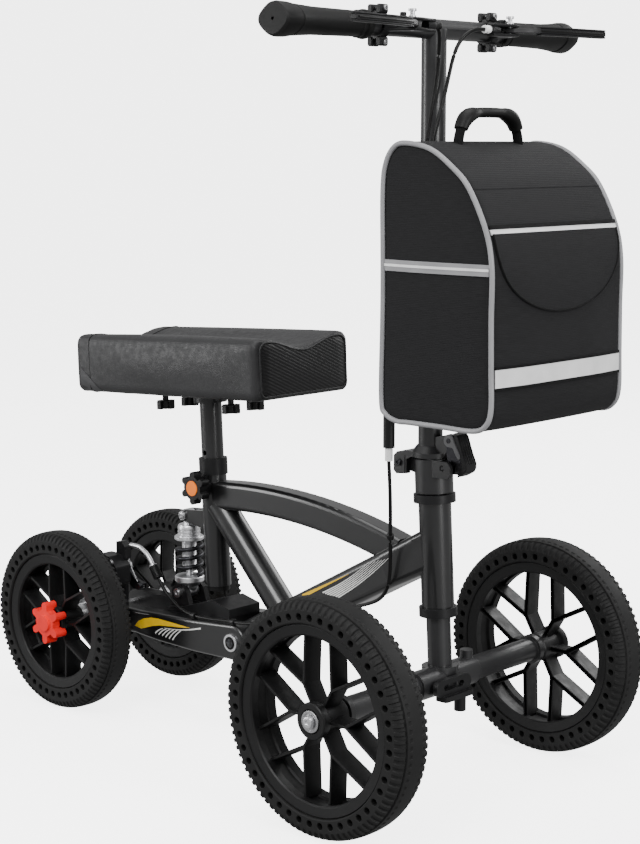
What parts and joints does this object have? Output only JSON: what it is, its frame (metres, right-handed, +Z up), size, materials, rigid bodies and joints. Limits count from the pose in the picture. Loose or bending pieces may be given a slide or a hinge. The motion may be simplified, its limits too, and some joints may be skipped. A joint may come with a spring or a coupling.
{
  "type": "knee scooter",
  "caption": "Knee scooter with a folding steering stem, padded knee rest on a clamped post, sprung rear swingarm, hand brakes and a front bag.",
  "frame": {"origin": "on the floor, under the middle of the object's box", "axes": "+X is the direction of travel, +Y the rider's left, +Z up"},
  "size_m": [0.956, 0.562, 1.008],
  "materials": {
    "frame_paint": "gloss",
    "fork_paint": "satin",
    "black_alloy": "satin",
    "silver_alloy": "satin",
    "zinc_steel": "satin",
    "black_steel": "satin",
    "rim_nylon": "satin",
    "black_plastic": "satin",
    "white_plastic": "gloss",
    "red_plastic": "gloss",
    "orange_plastic": "satin",
    "tyre_rubber": "matte",
    "soft_rubber": "matte",
    "cable_jacket": "satin",
    "pad_cover": "satin",
    "bag_fabric": "matte",
    "bag_webbing": "matte"
  },
  "bodies": {
    "frame": {"lower_beam": "frame_paint", "upper_beam": "frame_paint", "brace_tube": "frame_paint", "seat_tube": "frame_paint", "head_tube": "frame_paint", "headset": "black_alloy", "seat_collar": "black_alloy", "pivot_axle": "silver_alloy", "shock_bolt_upper": "zinc_steel", "bump_stop": "soft_rubber", "frame_cable": "cable_jacket"},
    "seat_knob": {"seat_knob": "black_plastic", "seat_knob_disc": "orange_plastic"},
    "seat": {"seat_post": "fork_paint", "knee_pad": "pad_cover", "pad_knobs": "black_plastic"},
    "steering": {"steerer": "fork_paint", "front_axle_beam": "fork_paint", "front_axle_bolts": "zinc_steel", "front_bearings": "zinc_steel", "front_link": "black_steel"},
    "stem": {"stem_tube": "fork_paint", "hinge_pins": "black_steel", "handlebar": "fork_paint", "grips": "soft_rubber", "lever_brackets": "black_alloy", "lever_bolts": "silver_alloy", "lever_cables": "cable_jacket", "cable_joiner": "black_plastic", "cable_ferrules": "white_plastic", "bag": "bag_fabric", "bag_handle": "bag_webbing"},
    "latch_lever": {"latch_lever": "black_alloy"},
    "latch_link": {"latch_link": "black_steel"},
    "brake_lever_left": {"brake_lever_left": "black_alloy"},
    "brake_lever_right": {"brake_lever_right": "black_alloy"},
    "park_button_left": {"park_button_left": "black_plastic"},
    "park_button_right": {"park_button_right": "black_plastic"},
    "front_wheel_left": {"front_rim_left": "rim_nylon", "front_tyre_left": "tyre_rubber"},
    "front_wheel_right": {"front_rim_right": "rim_nylon", "front_tyre_right": "tyre_rubber"},
    "rear_wheel_left": {"rear_rim_left": "rim_nylon", "rear_tyre_left": "tyre_rubber"},
    "rear_wheel_right": {"rear_rim_right": "rim_nylon", "rear_tyre_right": "tyre_rubber", "brake_disc": "zinc_steel"},
    "drag_knob": {"drag_knob": "red_plastic"},
    "swingarm": {"swingarm_arms": "black_alloy", "swingarm_bridge": "black_alloy", "rear_axle": "zinc_steel", "rear_bearings": "zinc_steel", "shock_bolt_lower": "zinc_steel", "brake_caliper": "black_alloy", "brake_noodle": "silver_alloy", "rear_cable": "cable_jacket"},
    "caliper_arm": {"caliper_arm": "black_steel"},
    "shock_body": {"shock_body": "silver_alloy", "shock_spring": "black_steel"},
    "shock_rod": {"shock_rod": "silver_alloy"}
  },
  "joints": [
    {"name": "steering", "type": "hinge", "parent": "frame", "child": "steering", "pos_m": [0.297, 0, 0.15], "axis": [-0.0523, 0, 0.9986], "range_deg": [-30, 30]},
    {"name": "stem_fold", "type": "hinge", "parent": "steering", "child": "stem", "pos_m": [0.24, 0, 0.4326], "axis": [0, -1, 0], "range_deg": [0, 45]},
    {"name": "latch_lever", "type": "hinge", "parent": "stem", "child": "latch_lever", "pos_m": [0.3165, 0, 0.468], "axis": [0, -1, 0], "range_deg": [0, 60]},
    {"name": "latch_link", "type": "hinge", "parent": "latch_lever", "child": "latch_link", "pos_m": [0.319, 0, 0.441], "axis": [0, -1, 0], "range_deg": [-60, 0]},
    {"name": "brake_lever_right", "type": "hinge", "parent": "stem", "child": "brake_lever_right", "pos_m": [0.322, -0.095, 0.983], "axis": [0, 0, -1], "range_deg": [0, 20], "stiffness_Nm_per_rad": 1, "springref_deg": -17.19},
    {"name": "brake_lever_left", "type": "hinge", "parent": "stem", "child": "brake_lever_left", "pos_m": [0.322, 0.095, 0.983], "axis": [0, 0, 1], "range_deg": [0, 20], "stiffness_Nm_per_rad": 1, "springref_deg": -17.19},
    {"name": "park_button_right", "type": "slide", "parent": "stem", "child": "park_button_right", "axis": [0, 0, -1], "range_m": [0, 0.0025], "stiffness_N_per_m": 300, "springref_m": -0.003},
    {"name": "park_button_left", "type": "slide", "parent": "stem", "child": "park_button_left", "axis": [0, 0, -1], "range_m": [0, 0.0025], "stiffness_N_per_m": 300, "springref_m": -0.003},
    {"name": "front_wheel_left", "type": "hinge", "parent": "steering", "child": "front_wheel_left", "pos_m": [0.3, 0.2245, 0.15], "axis": [0, 1, 0], "continuous": true},
    {"name": "front_wheel_right", "type": "hinge", "parent": "steering", "child": "front_wheel_right", "pos_m": [0.3, -0.2245, 0.15], "axis": [0, 1, 0], "continuous": true},
    {"name": "swingarm", "type": "hinge", "parent": "frame", "child": "swingarm", "pos_m": [-0.041, 0, 0.143], "axis": [0, 1, 0], "range_deg": [0, 5], "stiffness_Nm_per_rad": 2500, "springref_deg": -1.72},
    {"name": "rear_wheel_left", "type": "hinge", "parent": "swingarm", "child": "rear_wheel_left", "pos_m": [-0.344, 0.113, 0.134], "axis": [0, 1, 0], "continuous": true},
    {"name": "rear_wheel_right", "type": "hinge", "parent": "swingarm", "child": "rear_wheel_right", "pos_m": [-0.344, -0.113, 0.134], "axis": [0, 1, 0], "continuous": true},
    {"name": "drag_knob", "type": "hinge", "parent": "swingarm", "child": "drag_knob", "pos_m": [-0.344, -0.15, 0.134], "axis": [0, -1, 0], "range_deg": [0, 270]},
    {"name": "caliper_arm", "type": "hinge", "parent": "swingarm", "child": "caliper_arm", "pos_m": [-0.285, -0.05, 0.212], "axis": [0, -1, 0], "range_deg": [0, 15]},
    {"name": "shock_swing", "type": "hinge", "parent": "frame", "child": "shock_body", "pos_m": [-0.187, 0, 0.3], "axis": [0, 1, 0], "range_deg": [-3, 0]},
    {"name": "shock_travel", "type": "slide", "parent": "shock_body", "child": "shock_rod", "axis": [0, 0, 1], "range_m": [0, 0.013], "deforming": ["shock_spring"]},
    {"name": "seat_height", "type": "slide", "parent": "frame", "child": "seat", "axis": [-0.0523, 0, 0.9986], "range_m": [-0.055, 0.04]},
    {"name": "seat_knob", "type": "hinge", "parent": "frame", "child": "seat_knob", "pos_m": [-0.13186, -0.037, 0.35185], "axis": [0, -1, 0], "range_deg": [0, 270]}
  ],
  "couplings": [
    {"joint": "latch_link", "follows": "latch_lever", "ratio": -1},
    {"joint": "caliper_arm", "follows": "brake_lever_right", "ratio": 0.7},
    {"joint": "shock_swing", "follows": "swingarm", "ratio": -0.47},
    {"joint": "shock_travel", "follows": "swingarm", "m_per_rad": 0.143}
  ]
}
